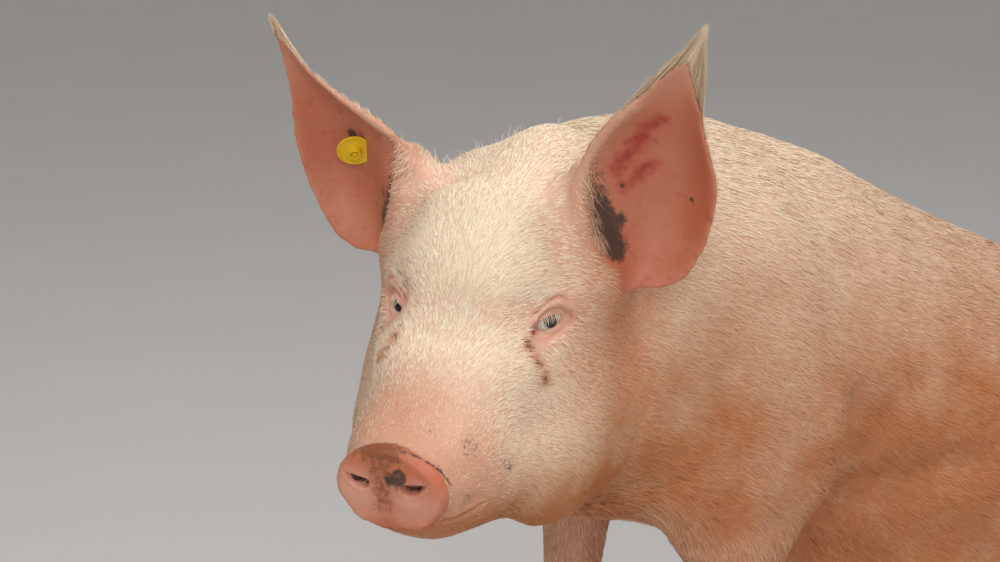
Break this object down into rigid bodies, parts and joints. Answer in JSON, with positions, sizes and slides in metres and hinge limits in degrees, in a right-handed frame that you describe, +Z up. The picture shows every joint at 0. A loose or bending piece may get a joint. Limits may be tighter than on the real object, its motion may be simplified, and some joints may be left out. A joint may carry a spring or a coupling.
{
  "type": "sitting pig figure",
  "caption": "Life-size white farm pig sitting like a dog, forelegs straight, head turned to its left, ears up, with a plain round tag in its right ear.",
  "frame": {"origin": "middle of the base of the box round the whole animal, at floor level", "axes": "-Y the way the body faces, +X the pig's left, +Z up"},
  "size_m": [0.4868, 1.2396, 0.87],
  "materials": {
    "skin": "pink skin under short cream-white bristles",
    "bare_skin": "moist bare salmon-pink skin",
    "horn": "dull grey-brown horn",
    "eye": "wet, glossy",
    "tag": "satin yellow, slightly soiled"
  },
  "bodies": {
    "root": {"head": "skin", "snout_disc": "bare_skin", "eye_left": "eye", "ear_left": "skin", "eye_right": "eye", "ear_right": "skin", "ear_tag_button": "tag", "ear_tag_stud": "tag", "neck": "skin", "trunk": "skin", "claw_foreleg_left_outer": "horn", "dewclaw_foreleg_left_outer": "horn", "claw_foreleg_left_inner": "horn", "dewclaw_foreleg_left_inner": "horn", "foreleg_left": "skin", "thigh_left": "skin", "claw_hind_leg_left_outer": "horn", "dewclaw_hind_leg_left_outer": "horn", "claw_hind_leg_left_inner": "horn", "dewclaw_hind_leg_left_inner": "horn", "hind_leg_left": "skin", "claw_foreleg_right_outer": "horn", "dewclaw_foreleg_right_outer": "horn", "claw_foreleg_right_inner": "horn", "dewclaw_foreleg_right_inner": "horn", "foreleg_right": "skin", "thigh_right": "skin", "claw_hind_leg_right_outer": "horn", "dewclaw_hind_leg_right_outer": "horn", "claw_hind_leg_right_inner": "horn", "dewclaw_hind_leg_right_inner": "horn", "hind_leg_right": "skin", "tail": "skin"}
  },
  "joints": []
}
